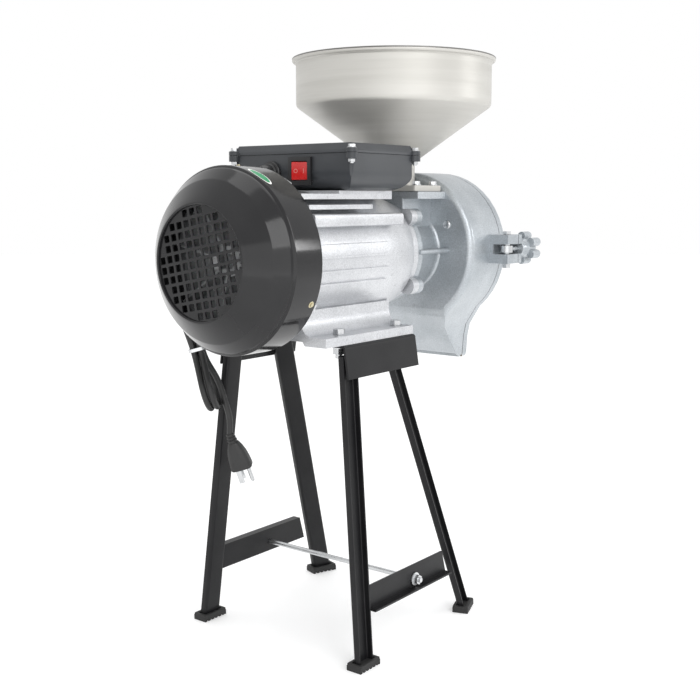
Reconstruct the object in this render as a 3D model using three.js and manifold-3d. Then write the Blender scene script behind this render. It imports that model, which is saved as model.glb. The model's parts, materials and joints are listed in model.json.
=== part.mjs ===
// Electric disc grain mill on a four-legged stand.
// Units are millimetres and +Z is up.
// X runs along the motor shaft, from the fan end to the mill head.
// Lengths along X are first taken from the grille plane and centred at the end.

import * as THREE from 'three';
import { mergeVertices } from 'three/addons/utils/BufferGeometryUtils.js';
import Module from 'manifold-3d';

const wasm = await Module();
wasm.setup();

// ---- main sizes ----
const GAP = 0.3;
const AXIS_Z = 457.4;
const TOTAL_HEIGHT = 700;
const X_CENTRE = 270.4;

const COVER_FRONT_R = 62.5;
const COVER_R = 102.6;
const COVER_CONE_X = 35;
const COVER_END_X = 80.7;
const COVER_WALL = 1.8;
const GRILLE_PITCH = 11;
const GRILLE_HOLE = 7.6;

const BODY_R = 76;
const BODY_START_X = 92.3;
const BODY_TAPER_X = 240;
const BODY_END_X = 300;
const BODY_END_R = 69.5;
const NECK_FLANGE_R = 65;
const NECK_FLANGE_X = 316;
const BORE_R = 68;
const BORE_END_X = 228;

const PLATE_X0 = 101;
const PLATE_X1 = 268;
const PLATE_Y = 90;
const PLATE_Z0 = 363.8;
const PLATE_Z1 = 374;
const FOOT_BOLT_X = [143, 252];
const FOOT_BOLT_Y = 75;

const BACK_X = 383;
const BACK_ROUND = 8;
const CASING_FRONT_X = 455.6;
const CASING_R = 101;
const CASING_WALL = 5;
const CHUTE_Z = 308.5;
const COVER_PLATE_X0 = 457;
const COVER_PLATE_X1 = 467;
const INLET_X = 351.6;
const THROAT_R = 26.5;
const AUGER_BORE_R = 31.5;
const PIN_X = 442;
const PIN_Y = 118;
const CLAMP_Z = 459.5;
const CLAMP_SLOT = 6.5;
const CLAMP_HALF = 18.5;

const RIM_R = 128.6;
const WALL_R = 124.3;
const CONE_TOP_Z = 641;
const CONE_LOW_Z = 571.4;
const HOPPER_NECK_R = 28;
const HOPPER_WALL = 1.5;
const HOPPER_FLANGE_Z0 = 533.5;
const HOPPER_FLANGE_Z1 = 541;

const BOX_X0 = 150.5;
const BOX_X1 = 271;
const BOX_Y = 87;
const BOX_Z0 = 534;
const BOX_Z1 = 574.7;
const LID_Z1 = 586;

const RAIL_X0 = 130;
const RAIL_X1 = 268;
const CORD_R = 3.75;
const CORD_ROUTE = [
  [127, 28.8, 554], [117, 40, 552], [108, 61, 541], [101.5, 84, 518],
  [98, 104, 488], [94.5, 114, 458], [89, 120.4, 430.3],
];
const TAIL_ROUTE = [[112.7, 87.1, 317.1], [115.6, 83.8, 301.7], [119, 80, 285], [122.3, 77.3, 246.5]];
const HANK_TOP = [83, 115.8, 419.5];
const HANK_LOW = [105.2, 82.4, 273.5];
const HANK_SIDE = [0.61, -0.79, 0];
const HANK_HALF_WIDTH = 8;
const HANK_WAIST = 10.2;
const HANK_BEND = 3 * 2 * CORD_R;
const PLUG_START = [122.6, 77.1, 244];
const PLUG_END = [141, 71, 192];

// ---- materials ----
const STEEL = [0xc9c7c1, 0.3, 0.9];
const ALU = [0xc4c7ca, 0.42, 0.7];
const CAST = [0x99a3a9, 0.48, 0.45];
const BLACK = [0x2f3032, 0.32, 0.2];
const STAND = [0x303133, 0.42, 0.25];
const PLASTIC = [0x45484d, 0.55, 0.0];
const RUBBER = [0x1f1f20, 0.85, 0.0];
const ZINC = [0xb9bcbe, 0.35, 0.9];
const IRON = [0x7b7d7f, 0.5, 0.7];
const COPPER = [0xa8642e, 0.45, 0.6];
const RED = [0xd01818, 0.3, 0.0];
const FIBRE = [0x6b5c45, 0.9, 0.0];

const group = new THREE.Group();
group.name = 'disc_grain_mill';

function weld(geometry) {
  const copy = geometry.index ? geometry.clone() : mergeVertices(geometry, 1e-4);
  copy.deleteAttribute('normal');
  copy.deleteAttribute('uv');
  return mergeVertices(copy, 1e-4);
}

function signedVolume(position, index) {
  const a = new THREE.Vector3();
  const b = new THREE.Vector3();
  const c = new THREE.Vector3();
  let sum = 0;
  for (let i = 0; i < index.length; i += 3) {
    a.fromBufferAttribute(position, index[i]);
    b.fromBufferAttribute(position, index[i + 1]);
    c.fromBufferAttribute(position, index[i + 2]);
    sum += a.dot(b.cross(c));
  }
  return sum;
}

function solid(geometry) {
  const clean = weld(geometry);
  const index = Array.from(clean.index.array).reduce((keep, value, i, all) => {
    if (i % 3 !== 0) return keep;
    const [p, q, r] = [value, all[i + 1], all[i + 2]];
    if (p !== q && q !== r && r !== p) keep.push(p, q, r);
    return keep;
  }, []);
  if (signedVolume(clean.attributes.position, index) < 0) index.reverse();
  return new wasm.Manifold(new wasm.Mesh({
    numProp: 3,
    vertProperties: new Float32Array(clean.attributes.position.array),
    triVerts: new Uint32Array(index),
  }));
}

function unite(...items) {
  return items.reduce((sum, item) => sum.add(item));
}

function cut(base, ...tools) {
  return tools.reduce((left, tool) => left.subtract(tool), base);
}

function toGeometry(body) {
  const mesh = body.getMesh();
  const geometry = new THREE.BufferGeometry();
  geometry.setAttribute('position', new THREE.BufferAttribute(new Float32Array(mesh.vertProperties), 3));
  geometry.setIndex(new THREE.BufferAttribute(new Uint32Array(mesh.triVerts), 1));
  geometry.computeVertexNormals();
  return geometry;
}

function addPart(name, body, look) {
  const geometry = toGeometry(body);
  geometry.translate(-X_CENTRE, 0, 0);
  const material = new THREE.MeshStandardMaterial({ color: look[0], roughness: look[1], metalness: look[2] });
  material.name = name;
  const mesh = new THREE.Mesh(geometry, material);
  mesh.name = name;
  group.add(mesh);
}

// ---- shape helpers ----
function box(x0, x1, y0, y1, z0, z1) {
  const geometry = new THREE.BoxGeometry(x1 - x0, y1 - y0, z1 - z0);
  return solid(geometry.translate((x0 + x1) / 2, (y0 + y1) / 2, (z0 + z1) / 2));
}

function rodX(x0, x1, y, z, r, seg = 20) {
  const geometry = new THREE.CylinderGeometry(r, r, x1 - x0, seg);
  return solid(geometry.rotateZ(-Math.PI / 2).translate((x0 + x1) / 2, y, z));
}

function rodY(y0, y1, x, z, r, seg = 20) {
  const geometry = new THREE.CylinderGeometry(r, r, y1 - y0, seg);
  return solid(geometry.translate(x, (y0 + y1) / 2, z));
}

function rodZ(z0, z1, x, y, r, seg = 20) {
  const geometry = new THREE.CylinderGeometry(r, r, z1 - z0, seg);
  return solid(geometry.rotateX(Math.PI / 2).translate(x, y, (z0 + z1) / 2));
}

function revolveX(profile, seg = 48, z = AXIS_Z) {
  const points = profile.map(([x, r]) => new THREE.Vector2(r, x));
  return solid(new THREE.LatheGeometry(points, seg).rotateZ(-Math.PI / 2).translate(0, 0, z));
}

function revolveZ(profile, x, y, seg = 48) {
  const points = profile.map(([r, z]) => new THREE.Vector2(r, z));
  return solid(new THREE.LatheGeometry(points, seg).rotateX(Math.PI / 2).translate(x, y, 0));
}

function shapeOf(points) {
  return new THREE.Shape(points.map(([a, b]) => new THREE.Vector2(a, b)));
}

function extrudeShape(shape, depth, steps = 1) {
  return new THREE.ExtrudeGeometry(shape, { depth, steps, bevelEnabled: false, curveSegments: 10 });
}

function prismX(points, x0, x1) {
  const basis = new THREE.Matrix4().makeBasis(
    new THREE.Vector3(0, 1, 0), new THREE.Vector3(0, 0, 1), new THREE.Vector3(1, 0, 0));
  return solid(extrudeShape(shapeOf(points), x1 - x0).applyMatrix4(basis).translate(x0, 0, 0));
}

function prismY(points, y0, y1) {
  return solid(extrudeShape(shapeOf(points), y1 - y0).rotateX(Math.PI / 2).translate(0, y1, 0));
}

function prismZ(points, z0, z1) {
  return solid(extrudeShape(shapeOf(points), z1 - z0).translate(0, 0, z0));
}

function arc(cx, cy, r, from, to, count) {
  const points = [];
  for (let i = 0; i <= count; i += 1) {
    const angle = THREE.MathUtils.degToRad(from + (to - from) * i / count);
    points.push([cx + r * Math.cos(angle), cy + r * Math.sin(angle)]);
  }
  return points;
}

function roundedRect(x0, x1, y0, y1, r, count = 5) {
  return [
    ...arc(x1 - r, y1 - r, r, 0, 90, count),
    ...arc(x0 + r, y1 - r, r, 90, 180, count),
    ...arc(x0 + r, y0 + r, r, 180, 270, count),
    ...arc(x1 - r, y0 + r, r, 270, 360, count),
  ];
}

function mirrorY(body) {
  const mesh = toGeometry(body);
  return solid(mesh.applyMatrix4(new THREE.Matrix4().makeScale(1, -1, 1)));
}

// Extrudes an outline between two level cuts of a leaning bar.
function leaningBar(outline, low, high, turn) {
  const height = high[2] - low[2];
  const c = Math.cos(turn);
  const s = Math.sin(turn);
  const lean = new THREE.Matrix4().makeBasis(
    new THREE.Vector3(c, s, 0), new THREE.Vector3(-s, c, 0),
    new THREE.Vector3((high[0] - low[0]) / height, (high[1] - low[1]) / height, 1));
  return solid(extrudeShape(shapeOf(outline), height).applyMatrix4(lean).translate(...low));
}

// Turns a piece built along +Z so that it runs from one point towards another.
function aim(geometry, from, to, side) {
  const along = new THREE.Vector3(...to).sub(new THREE.Vector3(...from)).normalize();
  const across = new THREE.Vector3(...side);
  across.sub(along.clone().multiplyScalar(across.dot(along))).normalize();
  const third = new THREE.Vector3().crossVectors(along, across);
  const basis = new THREE.Matrix4().makeBasis(across, third, along);
  return geometry.applyMatrix4(basis).translate(...from);
}

function aimBody(body, from, to, side) {
  return solid(aim(toGeometry(body), from, to, side));
}

function hexX(x0, x1, y, z, r) {
  return rodX(x0, x1, y, z, r, 6);
}

// ---- stand ----
const LEG_WIDTH = 26;
const LEG_DEPTH = 9;
const LEG_WALL = 2.2;

function legOutline() {
  const w = LEG_WIDTH / 2;
  const d = LEG_DEPTH / 2;
  const t = LEG_WALL;
  return [
    ...arc(-w + 3.5, d - 3.5, 3.5, 180, 90, 3),
    ...arc(w - 3.5, d - 3.5, 3.5, 90, 0, 3),
    [w, -d], [w - t, -d],
    ...arc(w - 3.5, d - 3.5, 1.3, 0, 90, 2),
    ...arc(-w + 3.5, d - 3.5, 1.3, 90, 180, 2),
    [-w + t, -d], [-w, -d],
  ].reverse();
}

const LEGS = {
  rear: { top: [143, -86.6, 351.5], low: [128, -121.5, 4.6], turn: 0 },
  front: { top: [226, -83.2, 351.5], low: [347, -118, 4.6], turn: THREE.MathUtils.degToRad(19.5) },
};

function leg(spec) {
  return leaningBar(legOutline(), spec.low, spec.top, spec.turn);
}

function footPad(spec) {
  const pad = solid(extrudeShape(shapeOf(roundedRect(-18.5, 18.5, -10, 10, 2, 2)), 8.5));
  const well = extrudeShape(shapeOf(roundedRect(-14.5, 14.5, -6, 6, 1.5, 2)), 6);
  const pocket = solid(well.translate(0, 0, 4.2));
  const hollow = toGeometry(cut(pad, pocket));
  return solid(hollow.rotateZ(spec.turn).translate(spec.low[0], spec.low[1], 0));
}

function topRail() {
  const t = 2.6;
  const bend = arc(-90.2, 359.8, 3.6, 90, 188, 4);
  const inner = arc(-90.2, 359.8, 1, 188, 90, 3);
  const outline = [[-60, 363.4], ...bend, [-99, 326.4], [-99 + t, 326], ...inner, [-60, 363.4 - t]];
  const rail = prismX(outline, RAIL_X0, RAIL_X1);
  return cut(rail, ...FOOT_BOLT_X.map((x) => rodZ(350, 370, x, -FOOT_BOLT_Y, 4.6, 14)));
}

function braceRight() {
  const web = prismY([[145.3, 60], [305.5, 60], [296.5, 90], [145.3, 90]], -117.2, -114.6);
  const flange = prismZ([[145.3, -126], [305.5, -126], [305.5, -114.6], [145.3, -114.6]], 60, 62.6);
  return cut(unite(web, flange), rodY(-130, -110, 235.5, 72, 3.4, 12));
}

function braceLeft() {
  const web = prismY([[145.3, 60], [305.5, 60], [296.5, 90], [145.3, 90]], 114.6, 117.2);
  const flange = box(145.3, 296.5, 114.6, 126, 87.4, 90);
  return cut(unite(web, flange), rodY(110, 130, 235.5, 72, 3.4, 12));
}

function tieNut() {
  const washer = rodY(-119.1, -117.5, 235.5, 72, 8, 18);
  const nut = rodY(-124.4, -119.1, 235.5, 72, 5.8, 6);
  return cut(unite(washer, nut), rodY(-130, -110, 235.5, 72, 3.3, 12));
}

function footBolt(x) {
  const head = rodZ(PLATE_Z1 + GAP, PLATE_Z1 + 6.5, x, -FOOT_BOLT_Y, 7.2, 6);
  const shank = rodZ(347, PLATE_Z1 + 2, x, -FOOT_BOLT_Y, 4, 10);
  const washer = rodZ(359, 360.5, x, -FOOT_BOLT_Y, 8, 12);
  const nut = rodZ(352, 359, x, -FOOT_BOLT_Y, 7.2, 6);
  return unite(head, shank, washer, nut);
}

function buildStand() {
  for (const [place, spec] of Object.entries(LEGS)) {
    const bar = leg(spec);
    const pad = footPad(spec);
    addPart(`leg_${place}_right`, bar, STAND);
    addPart(`leg_${place}_left`, mirrorY(bar), STAND);
    addPart(`foot_pad_${place}_right`, pad, RUBBER);
    addPart(`foot_pad_${place}_left`, mirrorY(pad), RUBBER);
  }
  addPart('top_rail_right', topRail(), STAND);
  addPart('top_rail_left', mirrorY(topRail()), STAND);
  addPart('brace_right', braceRight(), STAND);
  addPart('brace_left', braceLeft(), STAND);
  addPart('tie_rod', rodY(-127, 127, 235.5, 72, 3, 14), ZINC);
  addPart('tie_rod_nut_right', tieNut(), ZINC);
  addPart('tie_rod_nut_left', mirrorY(tieNut()), ZINC);
  FOOT_BOLT_X.forEach((x, i) => {
    const bolt = footBolt(x);
    addPart(`foot_bolt_${i ? 'front' : 'rear'}_right`, bolt, ZINC);
    addPart(`foot_bolt_${i ? 'front' : 'rear'}_left`, mirrorY(bolt), ZINC);
  });
}

// ---- motor ----
function pedestalOutline() {
  const side = [
    [PLATE_Y, PLATE_Z0], [PLATE_Y, PLATE_Z1], [67, PLATE_Z1], [61, 377], [56.5, 383], [54, 391], [54, 402],
  ];
  const left = side.map(([y, z]) => [-y, z]).reverse();
  return [...side, ...left, [-60, PLATE_Z0], [-57, 368.5], [57, 368.5], [60, PLATE_Z0]];
}

function bodyRib(angle) {
  const a = THREE.MathUtils.degToRad(angle);
  const rib = new THREE.BoxGeometry(BODY_TAPER_X - 4 - BODY_START_X, 9, 2.2);
  rib.translate((BODY_TAPER_X - 4 + BODY_START_X) / 2, -(BODY_R - 2.2), 0);
  return solid(rib.rotateX(-a).translate(0, 0, AXIS_Z));
}

function motorFins() {
  const low = prismX(roundedRect(-83.5, 83.5, 494, 508, 3, 2), BODY_START_X, 256);
  const mid = box(BODY_START_X, 206, -75, 75, 513, 518);
  const top = box(BODY_START_X, 206, -64, 64, 524, 530);
  const pad = box(160, 262, -62, 62, 524, 533.7);
  return [low, mid, top, pad];
}

function flangeLugs(x0, x1) {
  return [40, -36, 144, 220].map((angle) => {
    const a = THREE.MathUtils.degToRad(angle);
    return rodX(x0, x1, -69 * Math.cos(a), AXIS_Z + 69 * Math.sin(a), 10.5, 18);
  });
}

function motorHousing() {
  const outer = revolveX([
    [BODY_START_X, 0], [BODY_START_X, BODY_R], [BODY_TAPER_X, BODY_R], [BODY_TAPER_X + 32, 75],
    [BODY_END_X, BODY_END_R], [BODY_END_X, NECK_FLANGE_R], [NECK_FLANGE_X, NECK_FLANGE_R], [NECK_FLANGE_X, 0],
  ], 44);
  const ribs = [14, 2.2, -9.4, -20.4].flatMap((a) => [bodyRib(a), bodyRib(180 - a)]);
  const plate = prismX(pedestalOutline(), PLATE_X0, PLATE_X1);
  const whole = unite(outer, plate, ...ribs, ...motorFins(), ...flangeLugs(304, NECK_FLANGE_X));
  const bore = revolveX([
    [BODY_START_X - 5, 0], [BODY_START_X - 5, BORE_R], [BORE_END_X, BORE_R], [286, 58], [290, 30],
    [290, 23.3], [304.3, 23.3], [304.3, 14], [NECK_FLANGE_X + 5, 14], [NECK_FLANGE_X + 5, 0],
  ], 40);
  const holes = FOOT_BOLT_X.flatMap((x) => [-1, 1].map((s) => rodZ(350, 400, x, s * FOOT_BOLT_Y, 4.5, 14)));
  const arch = box(80, 300, -120, 120, 300, PLATE_Z0);
  return cut(whole, bore, arch, ...holes);
}

function rearShield() {
  const disc = revolveX([
    [78.5, 0], [78.5, 26], [83, 30], [84, 76.5], [92, 76.5], [92, 0],
  ], 40);
  const lugs = [0, 90, 180, 270].map((angle) => {
    const a = THREE.MathUtils.degToRad(angle + 30);
    const lug = new THREE.BoxGeometry(7, 12, 30).translate(84, 0, 87);
    return solid(lug.rotateX(a).translate(0, 0, AXIS_Z));
  });
  const limit = rodX(70, 92, 0, AXIS_Z, 100.2, 44);
  const seat = rodX(82, 95, 0, AXIS_Z, 18.3, 32);
  const hole = rodX(70, 95, 0, AXIS_Z, 11, 24);
  return cut(unite(disc, ...lugs).intersect(limit), seat, hole);
}

function ring(x0, x1, inner, outer, seg = 40) {
  return cut(rodX(x0, x1, 0, AXIS_Z, outer, seg), rodX(x0 - 1, x1 + 1, 0, AXIS_Z, inner, seg));
}

function windingRing(x0, x1) {
  const middle = (x0 + x1) / 2;
  const torus = new THREE.TorusGeometry(56, 10, 8, 24).scale(1, 1, (x1 - x0) / 20);
  return solid(torus.rotateY(Math.PI / 2).translate(middle, 0, AXIS_Z));
}

function shaft() {
  return revolveX([
    [26, 0], [26, 8], [62, 8], [62, 9.7], [94, 9.7], [94, 14], [289, 14], [289, 11.7], [419, 11.7],
    [419.5, 11], [419.5, 0],
  ], 18);
}

function coolingFan() {
  const hub = rodX(46, 75, 0, AXIS_Z, 17, 24);
  const plate = rodX(72, 75, 0, AXIS_Z, 95, 44);
  const blades = Array.from({ length: 8 }, (_, i) => {
    const blade = new THREE.BoxGeometry(29, 2.4, 74).translate(60.5, 0, 49);
    return solid(blade.rotateX(i * Math.PI / 4 + 0.2).translate(0, 0, AXIS_Z));
  });
  const bores = [rodX(40, 63, 0, AXIS_Z, 8.3, 24), rodX(61.5, 80, 0, AXIS_Z, 10, 24)];
  return cut(unite(hub, plate, ...blades), ...bores);
}

function grilleDisc() {
  const disc = shapeOf(arc(0, 0, COVER_FRONT_R - 0.4, 0, 352.5, 47));
  const turn = THREE.MathUtils.degToRad(-11);
  const half = GRILLE_HOLE / 2;
  for (let i = -6; i <= 6; i += 1) {
    for (let j = -6; j <= 6; j += 1) {
      const reach = Math.hypot(Math.abs(i) * GRILLE_PITCH + half, Math.abs(j) * GRILLE_PITCH + half);
      if (reach > COVER_FRONT_R - 2.5) continue;
      const hole = [[-half, -half], [half, -half], [half, half], [-half, half]].map(([a, b]) => {
        const u = a + i * GRILLE_PITCH;
        const v = b + j * GRILLE_PITCH;
        return new THREE.Vector2(u, v).rotateAround(new THREE.Vector2(), turn);
      });
      disc.holes.push(new THREE.Path(hole.reverse()));
    }
  }
  const geometry = new THREE.ExtrudeGeometry(disc, { depth: 1.6, steps: 1, bevelEnabled: false });
  const basis = new THREE.Matrix4().makeBasis(
    new THREE.Vector3(0, 1, 0), new THREE.Vector3(0, 0, 1), new THREE.Vector3(1, 0, 0));
  return solid(geometry.applyMatrix4(basis).translate(2.6, 0, AXIS_Z));
}

function fanCover() {
  const w = COVER_WALL;
  const shell = revolveX([
    [0, COVER_FRONT_R - 1.6], [0, COVER_FRONT_R], [COVER_CONE_X - 3, 97.5], [COVER_CONE_X, 100.8],
    [COVER_CONE_X + 4, COVER_R], [COVER_END_X, COVER_R], [COVER_END_X, COVER_R - w],
    [COVER_CONE_X + 4, COVER_R - w], [COVER_CONE_X - 1, 97.5], [4.2, COVER_FRONT_R - 1.6],
    [0, COVER_FRONT_R - 1.6],
  ], 44);
  return unite(shell, grilleDisc());
}

function bearing(x0, x1, inner, outer) {
  return ring(x0, x1, inner, outer, 28);
}

function buildMotor() {
  addPart('motor_housing', motorHousing(), ALU);
  addPart('rear_end_shield', rearShield(), ALU);
  addPart('stator_core', ring(118, 204, 46, BORE_R - 0.7, 36), IRON);
  addPart('stator_winding_rear', windingRing(96, 117.5), COPPER);
  addPart('stator_winding_front', windingRing(204.5, 225), COPPER);
  addPart('rotor_core', ring(118, 204, 14.5, 45.2, 32), IRON);
  addPart('motor_shaft', shaft(), IRON);
  addPart('bearing_rear', bearing(82.3, 91.8, 10, 18), STEEL);
  addPart('bearing_front', bearing(291, 304, 12, 23), STEEL);
  addPart('cooling_fan', coolingFan(), PLASTIC);
  addPart('fan_cover', fanCover(), BLACK);
}

// ---- junction box ----
function tub(x0, x1, y, z0, z1, r) {
  const bowl = (a, b) => [
    [b, z1], [a, z1], ...arc(a + r, z0 + r, r, 180, 270, 6), ...arc(b - r, z0 + r, r, 270, 360, 6),
  ];
  const plan = prismZ(roundedRect(x0, x1, -y, y, 5, 3), z0 - 1, z1);
  return prismY(bowl(x0, x1), -y - 1, y + 1).intersect(prismX(bowl(-y, y), x0 - 1, x1 + 1)).intersect(plan);
}

function boxLugs(z0, z1) {
  const spots = [[BOX_X0 - 1, -1], [BOX_X0 - 1, 1], [BOX_X1 + 1, -1], [BOX_X1 + 1, 1]];
  return spots.map(([x, s]) => rodZ(z0, z1, x, s * (BOX_Y + 1), 6.5, 14));
}

function boxBase() {
  const outer = unite(tub(BOX_X0, BOX_X1, BOX_Y, BOX_Z0, BOX_Z1, 22), ...boxLugs(568, BOX_Z1));
  const inner = tub(BOX_X0 + 3, BOX_X1 - 3, BOX_Y - 3, BOX_Z0 + 3, BOX_Z1 + 1, 19);
  const gland = rodX(BOX_X0 - 5, BOX_X0 + 8, 28.8, 554, 8.3, 20);
  const window = box(BOX_X0 - 5, BOX_X0 + 8, -28.3, -1.7, 543.2, 568);
  const wires = rodZ(BOX_Z0 - 2, BOX_Z0 + 6, 200, 0, 10, 16);
  return cut(outer, inner, gland, window, wires);
}

function boxLid() {
  const z0 = BOX_Z1 + GAP;
  const lip = z0 + 3.5;
  const slant = 4;
  const outline = (a, b) => [
    [a, z0], [a, lip], [a + slant, LID_Z1], [b - slant, LID_Z1], [b, lip], [b, z0],
  ];
  const half = BOX_Y + 1;
  const crown = prismX(outline(-half, half), BOX_X0 - 1, BOX_X1 + 1);
  const length = prismY(outline(BOX_X0 - 1, BOX_X1 + 1), -half - 1, half + 1);
  const inside = box(BOX_X0 + 4, BOX_X1 - 4, -BOX_Y + 4, BOX_Y - 4, z0 - 1, LID_Z1 - 3);
  return cut(unite(crown.intersect(length), ...boxLugs(z0, z0 + 5)), inside);
}

function switchBody() {
  const frame = box(146.5, BOX_X0 - GAP, -31.5, 1.5, 539.5, 571.5);
  const barrel = box(BOX_X0 - 1, 172, -27.8, -2.2, 543.8, 567.4);
  const mouth = box(140, 162, -26.6, -3.4, 545, 566.4);
  return cut(unite(frame, barrel), mouth);
}

function switchRocker() {
  const outline = [[151, -10.6], [145.6, -10.4], [147.6, 0], [145.6, 10.4], [151, 10.6], [155, 3], [155, -3]];
  const rocker = toGeometry(prismZ(outline, 545.6, 565.8));
  const tilt = THREE.MathUtils.degToRad(9);
  return solid(rocker.translate(-151, 0, 0).rotateZ(tilt).translate(151, -15, 0));
}

function cableGland() {
  const collar = rodX(141, BOX_X0 - GAP, 28.8, 554, 11.4, 24);
  const dome = revolveX([[130, 0], [130, 5.2], [133, 8.2], [141.5, 9.4], [141.5, 0]], 20, 0);
  const placed = solid(toGeometry(dome).translate(0, 28.8, 554));
  const thread = rodX(BOX_X0 - 2, 159, 28.8, 554, 8, 18);
  return cut(unite(collar, placed, thread), rodX(120, 165, 28.8, 554, CORD_R + GAP, 14));
}

function buildJunctionBox() {
  addPart('box_base', boxBase(), PLASTIC);
  addPart('box_lid', boxLid(), PLASTIC);
  addPart('run_capacitor', rodY(-48, 48, 226, 556.5, 16.5, 24), ALU);
  addPart('switch_body', switchBody(), RUBBER);
  addPart('switch_rocker', switchRocker(), RED);
  addPart('cable_gland', cableGland(), RUBBER);
}

// ---- mill head ----
function pearOutline(inset, base = inset > 0 ? CHUTE_Z - 10 : CHUTE_Z, corner = inset > 0 ? 1 : 7) {
  const r = CASING_R - inset;
  const half = 44 - inset;
  const join = 50;
  const a = THREE.MathUtils.degToRad(join);
  const side = [
    [half - corner, base], ...arc(half - corner, base + corner, corner, -60, 0, 3), [half + 1.5, 338],
    [half + 5, 355], [(half + r * Math.cos(a)) / 2 + 2.5, 367.5],
  ];
  const top = arc(0, AXIS_Z, r, -join, 180 + join, 34);
  const left = side.map(([y, z]) => [-y, z]).reverse();
  return [...side, ...top, ...left];
}

// Joins equal-sized outlines at successive X places into one closed body.
function loftX(sections) {
  const count = sections[0][1].length;
  const vertices = sections.flatMap(([x, points]) => points.flatMap(([y, z]) => [x, y, z]));
  const faces = [];
  for (let k = 0; k + 1 < sections.length; k += 1) {
    for (let i = 0; i < count; i += 1) {
      const [a, b] = [k * count + i, k * count + (i + 1) % count];
      faces.push(a, b, b + count, a, b + count, a + count);
    }
  }
  const last = (sections.length - 1) * count;
  const flat = (points) => points.map(([y, z]) => new THREE.Vector2(y, z));
  const cap = (points) => THREE.ShapeUtils.triangulateShape(flat(points), []);
  cap(sections[0][1]).forEach(([a, b, c]) => faces.push(c, b, a));
  cap(sections[sections.length - 1][1]).forEach(([a, b, c]) => faces.push(last + a, last + b, last + c));
  const geometry = new THREE.BufferGeometry();
  geometry.setAttribute('position', new THREE.BufferAttribute(new Float32Array(vertices), 3));
  geometry.setIndex(faces);
  return solid(geometry);
}

// Casing block whose back edge is rounded all the way round.
function casingBlock() {
  const sections = [0, 18, 36, 54, 72, 90].map((degrees) => {
    const a = THREE.MathUtils.degToRad(degrees);
    const inset = BACK_ROUND * (1 - Math.sin(a));
    return [BACK_X + BACK_ROUND * (1 - Math.cos(a)), pearOutline(inset, CHUTE_Z, 7)];
  });
  return loftX([...sections, [CASING_FRONT_X, pearOutline(0)]]);
}

// Side view that trims the casing: upright back plate, then a back wall sloping down to the outlet.
function casingSide() {
  const outline = [
    [BACK_X, 620], [BACK_X, 382], [BACK_X + 1.4, 376], [BACK_X + 5, 370.8], [440, 317],
    [CASING_FRONT_X, CHUTE_Z], [480, 296], [480, 620],
  ];
  return prismY(outline, -130, 130);
}

function cavitySide() {
  const outline = [[BACK_X + 8, 620], [BACK_X + 8, 371.7], [444, 318.7], [444, 280], [480, 280], [480, 620]];
  return prismY(outline, -130, 130);
}

function clampEars(x0, x1) {
  const ears = [-1, 1].flatMap((s) => [
    box(x0, x1, Math.min(s * 90, s * 127.5), Math.max(s * 90, s * 127.5),
      CLAMP_Z - CLAMP_HALF, CLAMP_Z + CLAMP_HALF),
  ]);
  return ears;
}

function clampSlots(x0, x1, reach) {
  return [-1, 1].map((s) => box(x0, x1, Math.min(s * reach, s * 140), Math.max(s * reach, s * 140),
    CLAMP_Z - CLAMP_SLOT, CLAMP_Z + CLAMP_SLOT));
}

function millCasing() {
  const outer = casingBlock().intersect(casingSide());
  const cavity = prismX(pearOutline(CASING_WALL), BACK_X + 8, CASING_FRONT_X + 5).intersect(cavitySide());
  const shell = cut(unite(outer, ...clampEars(428, CASING_FRONT_X)), cavity);
  const neck = rodX(NECK_FLANGE_X + GAP, BACK_X + 4, 0, AXIS_Z, 50, 40);
  const flange = rodX(NECK_FLANGE_X + GAP, 325, 0, AXIS_Z, NECK_FLANGE_R, 44);
  const duct = prismZ(roundedRect(319, BACK_X + 2, -38.5, 38.5, 3, 2), AXIS_Z, 526);
  const top = prismZ(roundedRect(320, BACK_X + 1, -61, 61, 3, 2), 524.3, 533.2);
  const rods = [-64, 64].map((y) => rodX(318, BACK_X + 2, y, 458.5, 3.6, 12));
  const whole = unite(shell, neck, flange, duct, top, ...rods, ...flangeLugs(NECK_FLANGE_X + GAP, 326));
  const barrel = rodX(324, BACK_X + 12, 0, AXIS_Z, AUGER_BORE_R, 36);
  const throat = rodZ(AXIS_Z, 540, INLET_X, 0, THROAT_R, 32);
  const shaftHole = rodX(310, 330, 0, AXIS_Z, 13.5, 24);
  const pins = [-1, 1].map((s) => rodZ(430, 490, PIN_X, s * PIN_Y, 3.35, 14));
  return cut(whole, barrel, throat, shaftHole, ...pins, ...clampSlots(420, 460, 106));
}

function frontCover() {
  const plate = prismX(pearOutline(0), COVER_PLATE_X0, COVER_PLATE_X1);
  const round = [-1, 1].map((s) => rodZ(430, 490, PIN_X, s * PIN_Y, COVER_PLATE_X1 - PIN_X, 40));
  const keep = unite(box(400, 480, -112, 112, 430, 490), ...round);
  const ears = clampEars(COVER_PLATE_X0, COVER_PLATE_X1).map((ear) => ear.intersect(keep));
  const boss = revolveX([
    [COVER_PLATE_X0, 0], [COVER_PLATE_X0, 34], [COVER_PLATE_X1, 34], [476, 24], [488.7, 20], [488.7, 0],
  ], 32);
  const bore = rodX(450, 495, 0, AXIS_Z, 8.4, 24);
  return cut(unite(plate, ...ears, boss), bore, ...clampSlots(440, 480, 105));
}

function gasket() {
  const whole = prismX(pearOutline(1), 455.9, 456.7);
  const keep = box(450, 460, -110, 110, CHUTE_Z + 1, 600);
  return cut(whole.intersect(keep), prismX(pearOutline(CASING_WALL + 0.5), 450, 460));
}

function fixedDisc() {
  const disc = ring(391.3, 402.5, 33, 74, 36);
  const grooves = Array.from({ length: 8 }, (_, i) => {
    const groove = new THREE.BoxGeometry(2.4, 3, 46).translate(402.4, 8, 56);
    return solid(groove.rotateX(i * Math.PI / 4).translate(0, 0, AXIS_Z));
  });
  return cut(disc, ...grooves);
}

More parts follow.
